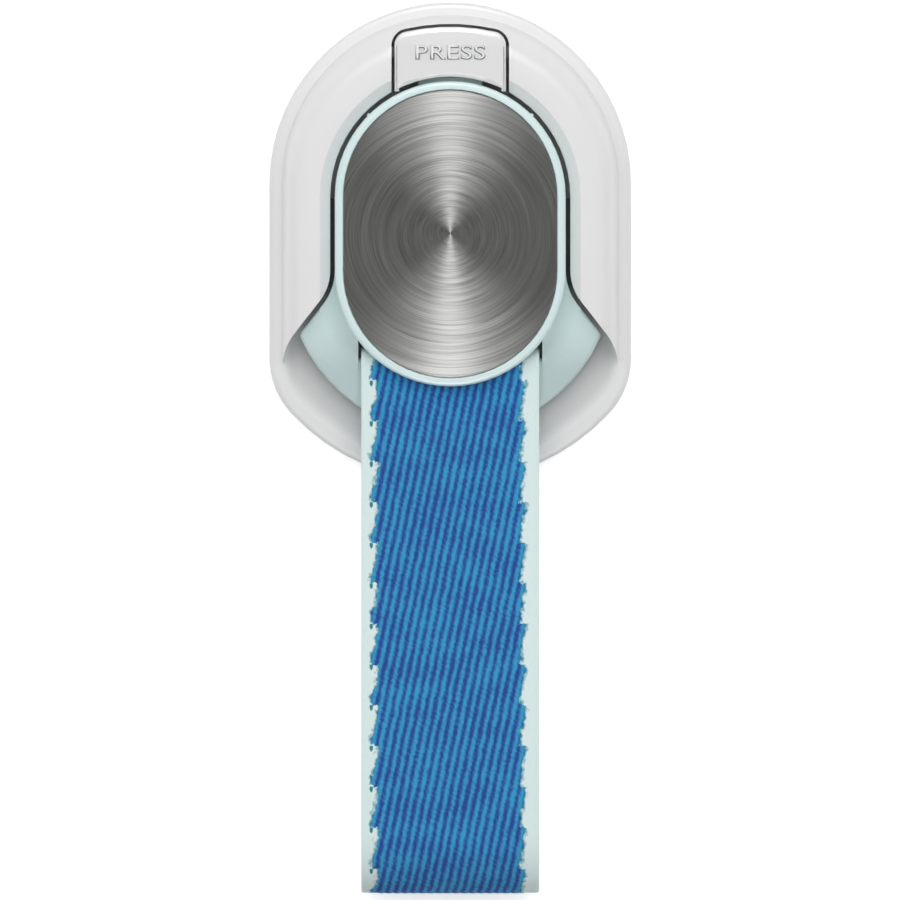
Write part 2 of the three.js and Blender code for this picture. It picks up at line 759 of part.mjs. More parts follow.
// Cored from below, as mouldings are, with a cross of ribs left standing
function core() {
  const halfRib = CARRIAGE_WALL / 3;
  const slotWallY = BAR_TOP_Y + SLOT_WIDTH + CARRIAGE_WALL;
  return prism(stadium(RING_RADIUS - CARRIAGE_WALL), 0, capBottom - CORE_ROOF)
    .subtract(box(-RING_RADIUS, RING_RADIUS, STRAP_END_Y, slotWallY, -1, ringTop))
    .subtract(box(-halfRib, halfRib, STRAP_END_Y, -STRAP_END_Y, -1, ringTop))
    .subtract(box(-RING_RADIUS, RING_RADIUS, -halfRib, halfRib, -1, ringTop));
}

function carriage() {
  const ring = ringBlock();
  const body = ring
    .subtract(overhangRoom())
    .add(wings().subtract(strapRoom()))
    .add(ringFillet());
  return body
    .subtract(core())
    .subtract(platePocket())
    .add(tongue())
    .add(guideRibs())
    .add(locatingNubs());
}

function steelPlate() {
  return loft([
    { z: pocketFloor, points: stadium(plateRadius) },
    { z: plateTop - PLATE_EDGE, points: stadium(plateRadius) },
    { z: plateTop, points: stadium(plateRadius - PLATE_EDGE) },
  ]);
}

// Strap: the middle line of the webbing in Y and Z, once round the loop

function strapMiddleLine() {
  const half = STRAP_THICKNESS / 2;
  const bendRadius = strapInnerRadius + half;
  const endY = STRAP_END_Y + STRAP_BEND_LENGTH;
  const bendHeight = (STRAP_LOOP_HEIGHT - STRAP_THICKNESS) / 2;
  const lowZ = barMiddleZ - bendRadius;
  const highZ = barMiddleZ + bendRadius;
  const landingY = HOUSING_BOTTOM_CENTRE_Y - HOUSING_BOTTOM_RADIUS - STRAP_THICKNESS;
  const touchY = landingY - STRAP_DROP_LENGTH;
  const points = arc(barMiddleY, barMiddleZ, bendRadius, Math.PI / 2, -Math.PI / 2);
  for (let i = 0; i <= STRAP_DROP_STEPS; i += 1) {
    const share = i / STRAP_DROP_STEPS;
    points.push(new THREE.Vector2(
      THREE.MathUtils.lerp(landingY, touchY, share),
      THREE.MathUtils.lerp(lowZ, half, smooth(share)),
    ));
  }
  const bend = arc(0, 0, 1, -Math.PI / 2, -3 * Math.PI / 2);
  for (const point of bend) {
    points.push(new THREE.Vector2(
      endY + point.x * (STRAP_BEND_LENGTH - half),
      half + bendHeight + point.y * bendHeight,
    ));
  }
  for (let i = 1; i < STRAP_RISE_STEPS; i += 1) {
    const share = i / STRAP_RISE_STEPS;
    points.push(new THREE.Vector2(
      THREE.MathUtils.lerp(endY, barMiddleY, share),
      THREE.MathUtils.lerp(half + 2 * bendHeight, highZ, smooth(share)),
    ));
  }
  return points;
}

// A section of the strap at a share of its length: where its middle lies and which way is outwards
function strapSection(path, share) {
  const nudge = STRAP_THICKNESS / 4 / path.getLength();
  const middle = path.getPoint(share % 1);
  const along = path.getPoint((share + nudge) % 1)
    .sub(path.getPoint((share - nudge + 1) % 1))
    .normalize();
  return { middle, along, outward: new THREE.Vector2(-along.y, along.x) };
}

// Sections of one run of the ribs, closer together where the strap bends
function runSections(path, run, runs) {
  const at = (share) => strapSection(path, (run + share) / runs);
  let turn = 0;
  for (let i = 0; i < TURN_SAMPLES; i += 1) {
    const from = at(i / TURN_SAMPLES).along;
    const to = at((i + 1) / TURN_SAMPLES).along;
    turn += Math.abs(Math.asin(from.cross(to)));
  }
  const steps = Math.max(1, Math.round(turn / TWILL_TURN));
  return Array.from({ length: steps + 1 }, (_, i) => ({ ...at(i / steps), lean: i / steps }));
}

// Each rib leans to the right as the run goes on. At a run's end the rightmost rib stops and a
// new one starts at the left, which gives the coloured field its stepped edges.
function fingerStrap() {
  const path = new THREE.Path(strapMiddleLine());
  path.closePath();
  const halfWidth = STRAP_WIDTH / 2;
  const inside = -STRAP_THICKNESS / 2;
  const groove = STRAP_THICKNESS / 2 - TWILL_HEIGHT;
  const crown = STRAP_THICKNESS / 2;
  const last = 2 * TWILL_RIBS;
  const positions = [];
  const place = (section, x, height) => [
    x,
    section.middle.x + section.outward.x * height,
    section.middle.y + section.outward.y * height,
  ];
  const face = (...corners) => {
    for (let i = 1; i < corners.length - 1; i += 1) {
      positions.push(...corners[0], ...corners[i], ...corners[i + 1]);
    }
  };
  const onRib = (section, column, height) => {
    const x = TWILL_LEFT_X + TWILL_PITCH * (column / 2 + section.lean);
    return place(section, x, height ?? (column % 2 ? crown : groove));
  };
  const runs = Math.round(path.getLength() / TWILL_RUN);
  for (let run = 0; run < runs; run += 1) {
    const sections = runSections(path, run, runs);
    for (let i = 0; i < sections.length - 1; i += 1) {
      const from = sections[i];
      const to = sections[i + 1];
      for (let k = 0; k < last; k += 1) {
        face(onRib(from, k), onRib(from, k + 1), onRib(to, k + 1), onRib(to, k));
      }
      const stepLeft = to.lean === 1 ? [onRib(to, -1, groove), onRib(to, -2)] : [];
      const stepRight = from.lean === 0 ? [onRib(from, last + 1, groove), onRib(from, last + 2)] : [];
      face(
        place(from, -halfWidth, groove), onRib(from, 0), onRib(to, 0),
        ...stepLeft, place(to, -halfWidth, groove),
      );
      face(
        place(to, halfWidth, groove), onRib(to, last), onRib(from, last),
        ...stepRight, place(from, halfWidth, groove),
      );
      face(
        place(from, halfWidth, inside), place(to, halfWidth, inside),
        place(to, halfWidth, groove), place(from, halfWidth, groove),
      );
      face(
        place(to, -halfWidth, inside), place(from, -halfWidth, inside),
        place(from, -halfWidth, groove), place(to, -halfWidth, groove),
      );
      face(
        place(to, -halfWidth, inside), place(to, halfWidth, inside),
        place(from, halfWidth, inside), place(from, -halfWidth, inside),
      );
    }
    const end = sections[sections.length - 1];
    face(onRib(end, last - 2), onRib(end, last - 1), onRib(end, last - 1, groove));
    face(onRib(end, last - 1, groove), onRib(end, last - 1), onRib(end, last));
    face(onRib(end, -2), onRib(end, -1, groove), onRib(end, -1, crown));
    face(onRib(end, -1, groove), onRib(end, 0), onRib(end, -1, crown));
  }
  const geometry = new THREE.BufferGeometry();
  geometry.setAttribute('position', new THREE.Float32BufferAttribute(positions, 3));
  return toSolid(geometry);
}

// Scene graph

const whitePlastic = { color: 0xececec, roughness: 0.35, metalness: 0 };
const glossWhite = { color: 0xf2f2f2, roughness: 0.12, metalness: 0 };
const mintPlastic = { color: 0xd7ebea, roughness: 0.4, metalness: 0 };
const foam = { color: 0xd9d9d6, roughness: 0.95, metalness: 0 };
const steel = { color: 0x9a9a98, roughness: 0.3, metalness: 1 };
const springSteel = { color: 0xb4b4b0, roughness: 0.3, metalness: 1 };
const webbing = { color: 0x2f72ab, roughness: 0.9, metalness: 0 };

function part(name, solid, look) {
  const mesh = new THREE.Mesh(toGeometry(solid), new THREE.MeshStandardMaterial(look));
  mesh.name = name;
  return mesh;
}

const strapHolder = new THREE.Group();
strapHolder.add(part('adhesive_pad', adhesivePad(), foam));
strapHolder.add(part('base_housing', baseHousing(), whitePlastic));

const button = new THREE.Group();
button.add(part('press_button', pressButton(), glossWhite));
button.add(part('button_spring', buttonSpring(), springSteel));
strapHolder.add(button);

const slider = new THREE.Group();
slider.add(part('carriage', carriage(), mintPlastic));
slider.add(part('steel_plate', steelPlate(), steel));
slider.add(part('finger_strap', fingerStrap(), webbing));
strapHolder.add(slider);

export default strapHolder;
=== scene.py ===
# %% [markdown]
# A phone finger strap in Blender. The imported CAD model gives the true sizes, the places and
# what moves; this file gives each surface the finish of the real one. The part lies on its
# adhesive face and the camera looks straight down on it, as a shop photograph does.

import math

import bpy
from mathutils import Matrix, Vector


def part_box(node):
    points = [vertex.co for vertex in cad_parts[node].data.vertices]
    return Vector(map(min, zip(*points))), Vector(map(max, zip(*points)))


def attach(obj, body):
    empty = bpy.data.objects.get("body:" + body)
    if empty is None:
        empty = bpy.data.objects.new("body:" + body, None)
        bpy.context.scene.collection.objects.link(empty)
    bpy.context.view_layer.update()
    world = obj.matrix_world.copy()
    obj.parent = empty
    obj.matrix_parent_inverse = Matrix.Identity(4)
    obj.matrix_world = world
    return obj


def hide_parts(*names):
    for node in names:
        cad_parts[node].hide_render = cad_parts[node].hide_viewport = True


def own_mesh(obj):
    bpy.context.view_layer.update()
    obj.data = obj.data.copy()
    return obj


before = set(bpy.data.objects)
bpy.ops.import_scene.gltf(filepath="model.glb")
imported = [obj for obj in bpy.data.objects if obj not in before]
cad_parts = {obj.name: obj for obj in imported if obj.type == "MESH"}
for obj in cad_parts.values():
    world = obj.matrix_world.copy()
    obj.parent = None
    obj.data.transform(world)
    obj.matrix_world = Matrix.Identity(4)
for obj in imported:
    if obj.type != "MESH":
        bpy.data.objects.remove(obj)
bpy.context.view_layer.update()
MM = 0.001

# %% [markdown]
# The photograph is 900 px wide and the 16 mm webbing measures 178 px in it, so one pixel is
# 0.09 mm. The steel plate's middle is the origin of the CAD model, so its pixel places the
# frame. A very long lens high above keeps the view nearly parallel, as the photograph's is.

# %% Camera
MM_PER_PX = 0.09
PHOTO_SIZE_PX = 900
ORIGIN_PX = (450.25, 233.5)
LENS_MM = 1500
SENSOR_MM = 36
SHARP_PLANE = 4 * MM
CLIP_M = (0.01, 10)


def photo_place(x, y):
    """The place in metres, on the part, of a pixel of the photograph."""
    return (x - ORIGIN_PX[0]) * MM_PER_PX * MM, (ORIGIN_PX[1] - y) * MM_PER_PX * MM


def add_camera():
    middle_x, middle_y = photo_place(PHOTO_SIZE_PX / 2, PHOTO_SIZE_PX / 2)
    width = PHOTO_SIZE_PX * MM_PER_PX * MM
    height = SHARP_PLANE + width * LENS_MM / SENSOR_MM
    bpy.ops.object.camera_add(location=(middle_x, middle_y, height), rotation=(0, 0, 0))
    camera = bpy.context.object
    camera.name = "camera"
    camera.data.lens = LENS_MM
    camera.data.sensor_width = SENSOR_MM
    camera.data.clip_start, camera.data.clip_end = CLIP_M
    bpy.context.scene.camera = camera
    return camera


camera = add_camera()
print("camera height in mm:", round(camera.location.z / MM))

# %% [markdown]
# Small helpers that every later cell uses. Operators act on whatever is selected, so each
# piece starts from an empty selection. A finished piece keeps its place in its mesh, with its
# object at the origin, so that patterns read true millimetres.

# %% Selection and finishing helpers
JOIN_DISTANCE = 0.002 * MM
FLAT_DEGREES = 0.6


def select_only(obj):
    for other in bpy.context.selected_objects:
        other.select_set(False)
    obj.select_set(True)
    bpy.context.view_layer.objects.active = obj


def put_place_in_mesh(obj):
    select_only(obj)
    bpy.ops.object.transform_apply(location=True, rotation=True, scale=True)


def apply_all_modifiers(obj):
    select_only(obj)
    for modifier in list(obj.modifiers):
        bpy.ops.object.modifier_apply(modifier=modifier.name)


def merged_copy(node, name):
    """A copy of a CAD node with its loose triangles joined up, ready for modifiers."""
    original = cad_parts[node]
    piece = original.copy()
    piece.data = original.data.copy()
    piece.name = name
    piece.parent = None
    for key in list(piece.keys()):
        del piece[key]
    bpy.context.scene.collection.objects.link(piece)
    select_only(piece)
    bpy.ops.object.mode_set(mode="EDIT")
    bpy.ops.mesh.select_all(action="SELECT")
    bpy.ops.mesh.remove_doubles(threshold=JOIN_DISTANCE)
    bpy.ops.mesh.dissolve_limited(angle_limit=math.radians(FLAT_DEGREES))
    bpy.ops.object.mode_set(mode="OBJECT")
    return piece


def ease_edges(piece, width, angle=32, segments=3):
    """Rounds every sharp edge, as a mould or a press leaves it."""
    bevel = piece.modifiers.new("eased_edges", "BEVEL")
    bevel.width = width
    bevel.segments = segments
    bevel.limit_method = "ANGLE"
    bevel.angle_limit = math.radians(angle)
    bevel.use_clamp_overlap = True
    bevel.miter_outer = "MITER_ARC"
    apply_all_modifiers(piece)


def smooth_faces(piece, angle=40):
    select_only(piece)
    bpy.ops.object.shade_smooth_by_angle(angle=math.radians(angle))


def count_faces(piece):
    print(piece.name, "has", len(piece.data.polygons), "faces")


# %% [markdown]
# Materials are built from nodes. Colours are written as sRGB hex, as a designer names them,
# and turned to the linear values that the renderer works in. The short functions below each
# add one kind of node, so that the recipes further on read almost like sums.

# %% Material helpers
def colour(hex_code):
    """An sRGB hex colour as linear RGBA."""
    channels = [int(hex_code[i:i + 2], 16) / 255 for i in (1, 3, 5)]
    linear = [c / 12.92 if c <= 0.04045 else ((c + 0.055) / 1.055) ** 2.4 for c in channels]
    return (*linear, 1)


def add(tree, kind, settings=None, values=None, links=None):
    """Adds a node: its settings, the values of its sockets, and what feeds them."""
    node = tree.nodes.new(kind)
    for key, value in (settings or {}).items():
        setattr(node, key, value)
    for key, value in (values or {}).items():
        node.inputs[key].default_value = value
    for key, source in (links or {}).items():
        tree.links.new(source, node.inputs[key])
    return node


def new_material(name):
    material = bpy.data.materials.new(name)
    material.use_nodes = True
    tree = material.node_tree
    tree.nodes.clear()
    surface = add(tree, "ShaderNodeBsdfPrincipled")
    output = add(tree, "ShaderNodeOutputMaterial", links={"Surface": surface.outputs["BSDF"]})
    output.is_active_output = True
    return material, tree, surface


def object_place(tree):
    return add(tree, "ShaderNodeTexCoord").outputs["Object"]


def xyz_of(tree, vector):
    """The X, Y and Z of a place or a direction."""
    parts = add(tree, "ShaderNodeSeparateXYZ", links={"Vector": vector}).outputs
    return parts["X"], parts["Y"], parts["Z"]


def maths(tree, operation, *operands, clamp=False):
    """One Math node; its operands are numbers or the outputs of other nodes."""
    node = add(tree, "ShaderNodeMath", {"operation": operation, "use_clamp": clamp})
    for socket, operand in enumerate(operands):
        if isinstance(operand, (int, float)):
            node.inputs[socket].default_value = operand
        else:
            tree.links.new(operand, node.inputs[socket])
    return node.outputs[0]


def fade(tree, value, start, stop):
    """A mask that goes softly from 0 at start to 1 at stop."""
    ramp = add(tree, "ShaderNodeMapRange", {"interpolation_type": "SMOOTHSTEP"},
               {"From Min": start, "From Max": stop}, {"Value": value})
    return ramp.outputs["Result"]


def remap(tree, value, source=(0, 1), target=(0, 1)):
    """Stretches one range to another, and holds the result inside the second."""
    ramp = add(tree, "ShaderNodeMapRange", links={"Value": value},
               values={"From Min": source[0], "From Max": source[1],
                       "To Min": target[0], "To Max": target[1]})
    return ramp.outputs["Result"]


def mix_colours(tree, share, first, second):
    """Blends two colours, each a hex code or the output of another node."""
    values = {}
    links = {"Factor": share}
    for socket, source in (("A", first), ("B", second)):
        if isinstance(source, str):
            values[socket] = colour(source)
        else:
            links[socket] = source
    return add(tree, "ShaderNodeMix", {"data_type": "RGBA"}, values, links).outputs["Result"]


def principled_of(material):
    return next(node for node in material.node_tree.nodes if node.type == "BSDF_PRINCIPLED")


def paint(piece, material):
    piece.data.materials.clear()
    piece.data.materials.append(material)


# %% [markdown]
# Injection-moulded ABS, the usual plastic of such housings. Its IOR is about 1.53. A spark-eroded
# mould leaves a very fine orange-peel that softens reflections, and the pigment is a hair uneven.
# The real texture is about 0.05 mm, too fine for this view, so it is drawn at 0.25 mm.

# %% Moulded plastic
ABS_IOR = 1.53
PEEL_SIZE = 0.25 * MM
PEEL_STRENGTH = 0.35
PIGMENT_SIZE = 6 * MM
ROUGHNESS_SPREAD = 0.04
COAT_ROUGHNESS = 0.05


def moulded_plastic(name, base, shade, roughness, peel_depth, coat=0.0):
    material, tree, surface = new_material(name)
    place = object_place(tree)
    pigment = add(tree, "ShaderNodeTexNoise", values={"Scale": 1 / PIGMENT_SIZE, "Detail": 2},
                  links={"Vector": place})
    peel = add(tree, "ShaderNodeTexNoise", values={"Scale": 1 / PEEL_SIZE, "Detail": 3},
               links={"Vector": place})
    rough = remap(tree, peel.outputs["Fac"],
                  target=(roughness - ROUGHNESS_SPREAD, roughness + ROUGHNESS_SPREAD))
    bump = add(tree, "ShaderNodeBump", values={"Strength": PEEL_STRENGTH, "Distance": peel_depth},
               links={"Height": peel.outputs["Fac"]})
    mix = mix_colours(tree, pigment.outputs["Fac"], base, shade)
    tree.links.new(mix, surface.inputs["Base Color"])
    tree.links.new(rough, surface.inputs["Roughness"])
    tree.links.new(bump.outputs["Normal"], surface.inputs["Normal"])
    surface.inputs["IOR"].default_value = ABS_IOR
    surface.inputs["Coat Weight"].default_value = coat
    surface.inputs["Coat Roughness"].default_value = COAT_ROUGHNESS
    return material


white_abs = moulded_plastic("white_moulded_abs", "#F0F0F0", "#EDEDED", 0.38, 0.004 * MM)
gloss_abs = moulded_plastic("gloss_white_abs", "#F3F3F3", "#F0F0F0", 0.14, 0.001 * MM, 0.6)
mint_abs = moulded_plastic("mint_moulded_abs", "#E2F6F5", "#DEF3F3", 0.36, 0.003 * MM)

# %% [markdown]
# Three painted shades have no edge in the shape to go with them: the sunk floor is painted a
# shade greyer for the shade in the recess, the wings are painted darker towards their foot for
# the ring's shadow, and the tops of the guide ribs are painted dark for the shade deep in the
# gap. On the real object, of one colour, the light makes them, so painting them is a guess. Each
# is a second colour, mixed in where masks made from the place on the part are all 1.

# %% Painted shade by place
# Painted shade on the sunk floor: its colour and where it is mixed in.
FLOOR_PAINTED_SHADE = "#D9D9D9"
FLOOR_ARC_Y = -2.8 * MM
FLOOR_REACH = (18.5 * MM, 17.0 * MM)
FLOOR_HALF_WIDTH = (15.2 * MM, 14.2 * MM)
FLOOR_TOP_Z = 2.02 * MM
# Painted shade on the guide-rib tops, deep in the gap beside the ring.
GUIDE_PAINTED_SHADE = "#3C4848"
RING_WALL_X = 10.36 * MM
GUIDE_TOP_Z = 4.1 * MM
GUIDE_FOOT_Y = -4.7 * MM
FACING_UP = 0.5
# Painted shadow of the ring on the wings, darker towards their foot.
WING_PAINTED_SHADE = "#BCCFCF"
WING_SHADE_Y = (-6 * MM, -13.5 * MM)
WING_SHADE_Z = (6.2 * MM, 4.8 * MM)


def mix_in_painted_shade(material, tone, *masks):
    """Mixes a painted shade into a plastic where all the masks are 1."""
    tree = material.node_tree
    surface = principled_of(material)
    plain = surface.inputs["Base Color"].links[0].from_socket
    mask = masks[0]
    for other in masks[1:]:
        mask = maths(tree, "MULTIPLY", mask, other)
    tree.links.new(mix_colours(tree, mask, plain, tone), surface.inputs["Base Color"])


def paint_floor_shade(material):
    """Painted shade on the sunk floor, inside the rim's arc and clear of the straight sides."""
    tree = material.node_tree
    place = object_place(tree)
    across, _, height = xyz_of(tree, place)
    from_arc = add(tree, "ShaderNodeVectorMath", {"operation": "MULTIPLY_ADD"},
                   {1: (1, 1, 0), 2: (0, -FLOOR_ARC_Y, 0)}, {0: place})
    reach = add(tree, "ShaderNodeVectorMath", {"operation": "LENGTH"},
                links={0: from_arc.outputs[0]})
    mix_in_painted_shade(material, FLOOR_PAINTED_SHADE,
         fade(tree, reach.outputs["Value"], *FLOOR_REACH),
         maths(tree, "LESS_THAN", height, FLOOR_TOP_Z),
         fade(tree, maths(tree, "ABSOLUTE", across), *FLOOR_HALF_WIDTH))


def paint_gap_shade_on_guides(material):
    """Painted shade on the level tops of the two guide ribs, deep in the gap beside the ring."""
    tree = material.node_tree
    across, along, height = xyz_of(tree, object_place(tree))
    upward = xyz_of(tree, add(tree, "ShaderNodeNewGeometry").outputs["Normal"])[2]
    mix_in_painted_shade(material, GUIDE_PAINTED_SHADE,
         maths(tree, "GREATER_THAN", maths(tree, "ABSOLUTE", across), RING_WALL_X),
         maths(tree, "LESS_THAN", height, GUIDE_TOP_Z),
         maths(tree, "GREATER_THAN", along, GUIDE_FOOT_Y),
         maths(tree, "GREATER_THAN", upward, FACING_UP))


def paint_ring_shadow_on_wings(material):
    """Painted shadow of the ring on the wings, more and more towards their foot below the ring."""
    tree = material.node_tree
    _, along, height = xyz_of(tree, object_place(tree))
    mix_in_painted_shade(material, WING_PAINTED_SHADE, fade(tree, along, *WING_SHADE_Y), fade(tree, height, *WING_SHADE_Z))


# Painted shade: the sunk floor greyer, the guide-rib tops dark in the gap, the wings darker below
# the ring.
paint_floor_shade(white_abs)
paint_gap_shade_on_guides(mint_abs)
paint_ring_shadow_on_wings(mint_abs)
for material in (white_abs, gloss_abs, mint_abs):
    print(material.name, "has", len(material.node_tree.nodes), "nodes")

# %% [markdown]
# The housing, the button and the carriage are hard mouldings. Their CAD solids have the right
# shapes, so they are copied, joined up and given the small edge radii of a real mould, which
# catch the light as thin bright lines. Modelling them anew would risk their fits.

# %% Housing
HOUSING_EDGE = 0.09 * MM


def make_housing():
    piece = merged_copy("base_housing", "housing")
    ease_edges(piece, HOUSING_EDGE)
    smooth_faces(piece)
    paint(piece, white_abs)
    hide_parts("base_housing")
    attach(piece, "housing")
    count_faces(piece)


make_housing()

# %% Carriage
CARRIAGE_EDGE = 0.07 * MM


def make_carriage():
    piece = merged_copy("carriage", "carriage_body")
    ease_edges(piece, CARRIAGE_EDGE)
    smooth_faces(piece)
    paint(piece, mint_abs)
    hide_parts("carriage")
    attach(piece, "slider")
    count_faces(piece)


make_carriage()

# %% Button
BUTTON_EDGE = 0.05 * MM


def make_button():
    piece = merged_copy("press_button", "button_cap")
    ease_edges(piece, BUTTON_EDGE)
    smooth_faces(piece)
    paint(piece, gloss_abs)
    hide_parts("press_button")
    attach(piece, "button")
    count_faces(piece)


make_button()

# %% [markdown]
# The button carries the plain word PRESS in raised letters, as a switch carries ON and OFF.
# The letters are a text object turned to a mesh, sunk a little into the face, with sloping
# flanks. Their width and height are read off the photograph. The flanks are painted darker
# towards the loop and lighter towards the head: a guess that stands in for the photograph's
# light and shadow, which letters this small lose.

# %% Raised letters
LETTER_MIDDLE_PX = (450.5, 52.5)
WORD_WIDTH_PX = 70
LETTER_HEIGHT_PX = 15
LETTER_RISE = 0.17 * MM
LETTER_SINK = 0.05 * MM
LETTER_SPACING = 1.12
# The next three are shares of the text's size
STROKE_OFFSET = -0.018
FACE_EXTRUDE = 0.02
FLANK_BEVEL = 0.05
UPWARD_ON_TOPS = (0.75, 0.95)
HEADWARD_ON_FLANKS = (-0.5, 0.5)
# Painted shade on the flanks, darker towards the loop, and a painted highlight on the tops, whiter
# than the button's face.
FLANK_PAINTED_SHADES = ("#6E6E6E", "#E2E2E2")
TOP_PAINTED_HIGHLIGHT = "#FFFFFF"


def letter_abs_with_painted_light():
    """The button's plastic, with a painted highlight on the letters' tops and painted shade on
    their flanks, darker towards the loop.
    """
    material = gloss_abs.copy()
    material.name = "gloss_white_letter_abs"
    tree = material.node_tree
    _, headward, upward = xyz_of(tree, add(tree, "ShaderNodeNewGeometry").outputs["Normal"])
    flanks = mix_colours(tree, remap(tree, headward, HEADWARD_ON_FLANKS), *FLANK_PAINTED_SHADES)
    mix = mix_colours(tree, remap(tree, upward, UPWARD_ON_TOPS), flanks, TOP_PAINTED_HIGHLIGHT)
    tree.links.new(mix, principled_of(material).inputs["Base Color"])
    return material


def make_letters():
    face_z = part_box("press_button")[1].z
    bpy.ops.object.text_add()
    text = bpy.context.object
    text.name = "button_letters"
    text.data.body = "PRESS"
    text.data.align_x = "CENTER"
    text.data.align_y = "CENTER"
    text.data.space_character = LETTER_SPACING
    text.data.offset = STROKE_OFFSET
    text.data.extrude = FACE_EXTRUDE
    text.data.bevel_depth = FLANK_BEVEL
    text.data.bevel_resolution = 0
    text.data.resolution_u = 6
    select_only(text)
    bpy.ops.object.convert(target="MESH")
    piece = bpy.context.object
    low, high = [Vector(c) for c in (piece.bound_box[0], piece.bound_box[6])]
    middle = (low + high) / 2
    middle_x, middle_y = photo_place(*LETTER_MIDDLE_PX)
    scale = Vector((
        WORD_WIDTH_PX * MM_PER_PX * MM / (high.x - low.x),
        LETTER_HEIGHT_PX * MM_PER_PX * MM / (high.y - low.y),
        (LETTER_RISE + LETTER_SINK) / (high.z - low.z),
    ))
    centre = Vector((middle_x, middle_y, face_z + (LETTER_RISE - LETTER_SINK) / 2))
    for vertex in piece.data.vertices:
        vertex.co = centre + (vertex.co - middle) * scale
    paint(piece, letter_abs_with_painted_light())
    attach(piece, "button")
    count_faces(piece)


make_letters()

# %% [markdown]
# Stainless steel sheet, turned under an abrasive pad so that its scratches are circles. Light
# spreads across the scratches and not along them, which is what draws the bright bow tie. The
# shader's anisotropy does the same: its tangent points away from the plate's middle. The real
# scratches are about 0.02 mm wide; they are drawn at three widths, from 0.09 mm up, so that
# they show. The arc numbers say how quickly a scratch changes round the circle.

# %% Brushed steel
SCRATCH_PITCHES = (0.09 * MM, 0.35 * MM, 1.3 * MM)
SCRATCH_ARCS = (1.3, 0.9, 0.5)
MIDDLE_WEIGHT = 0.5
BROAD_WEIGHT = 0.4
SCRATCH_RANGE = (0.5, 1.4)
SCRATCH_DEPTH = 0.004 * MM
SCRATCH_STRENGTH = 0.12
STEEL_TONES = ("#7E7E7D", "#BDBDBB")
STEEL_ROUGHNESS = (0.3, 0.4)
ANISOTROPY = 0.85


def radial_parts(tree):
    """Distance from the plate's middle, and the direction away from it."""
    place = object_place(tree)
    flat = add(tree, "ShaderNodeVectorMath", {"operation": "MULTIPLY"}, {1: (1, 1, 0)}, {0: place})
    distance = add(tree, "ShaderNodeVectorMath", {"operation": "LENGTH"},
                   links={0: flat.outputs[0]})
    facing = add(tree, "ShaderNodeVectorMath", {"operation": "NORMALIZE"},
                 links={0: flat.outputs[0]})
    return distance.outputs["Value"], facing.outputs[0]


def scratch_pattern(tree, distance, facing, pitch, arc):
    """Grey noise that changes quickly outwards and slowly round the circle."""
    lift = add(tree, "ShaderNodeCombineXYZ", links={"Z": maths(tree, "DIVIDE", distance, pitch)})
    turn = add(tree, "ShaderNodeVectorMath", {"operation": "SCALE"}, {"Scale": arc}, {0: facing})
    where = add(tree, "ShaderNodeVectorMath", {"operation": "ADD"},
                links={0: lift.outputs[0], 1: turn.outputs[0]})
    noise = add(tree, "ShaderNodeTexNoise", values={"Scale": 1, "Detail": 1, "Roughness": 0.5},
                links={"Vector": where.outputs[0]})
    return noise.outputs["Fac"]


def brushed_steel():
    material, tree, surface = new_material("circular_brushed_steel")
    distance, facing = radial_parts(tree)
    fine, middle, broad = [
        scratch_pattern(tree, distance, facing, pitch, arc)
        for pitch, arc in zip(SCRATCH_PITCHES, SCRATCH_ARCS)
    ]
    total = maths(tree, "MULTIPLY_ADD", middle, MIDDLE_WEIGHT, fine)
    total = maths(tree, "MULTIPLY_ADD", broad, BROAD_WEIGHT, total)
    shade = mix_colours(tree, remap(tree, total, SCRATCH_RANGE), *STEEL_TONES)
    bump = add(tree, "ShaderNodeBump",
               values={"Strength": SCRATCH_STRENGTH, "Distance": SCRATCH_DEPTH},
               links={"Height": total})
    tree.links.new(shade, surface.inputs["Base Color"])
    tree.links.new(remap(tree, middle, target=STEEL_ROUGHNESS), surface.inputs["Roughness"])
    tree.links.new(bump.outputs["Normal"], surface.inputs["Normal"])
    tree.links.new(facing, surface.inputs["Tangent"])
    surface.inputs["Metallic"].default_value = 1
    surface.inputs["Anisotropic"].default_value = ANISOTROPY
    return material


steel = brushed_steel()
print(steel.name, "has", len(steel.node_tree.nodes), "nodes")

# %% [markdown]
# The plate is stamped and pressed into the ring, so next to no gap shows round it. The CAD plate
# keeps a fitting clearance and a chamfer; here its outline is pushed out until a hairline is
# left, most of all at the top edge. Each point moves away from the oval's middle line.

# %% Steel plate
PLATE_EDGE = 0.03 * MM
PLATE_SHARP_DEGREES = 20
PLATE_ARC_Y = (-3.4 * MM, 3.3 * MM)
TOP_GROWTH = 0.14 * MM
SIDE_GROWTH = 0.06 * MM
SAME_HEIGHT = 0.01 * MM


def make_plate():
    piece = merged_copy("steel_plate", "plate")
    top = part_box("steel_plate")[1].z
    for vertex in piece.data.vertices:
        middle = Vector((0, min(max(vertex.co.y, PLATE_ARC_Y[0]), PLATE_ARC_Y[1]), vertex.co.z))
        grow = TOP_GROWTH if vertex.co.z > top - SAME_HEIGHT else SIDE_GROWTH
        vertex.co += (vertex.co - middle).normalized() * grow
    ease_edges(piece, PLATE_EDGE, angle=PLATE_SHARP_DEGREES)
    smooth_faces(piece, PLATE_SHARP_DEGREES)
    paint(piece, steel)
    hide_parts("steel_plate")
    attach(piece, "slider")
    count_faces(piece)


make_plate()

# %% [markdown]
# The strap is one closed loop of polyester webbing. A sheet simulation would only repeat the
# loop that the CAD solid already has, so the webbing is modelled directly: a fine flat grid is
# led round the loop, its twill ribs are raised, and Solidify gives it its thickness.

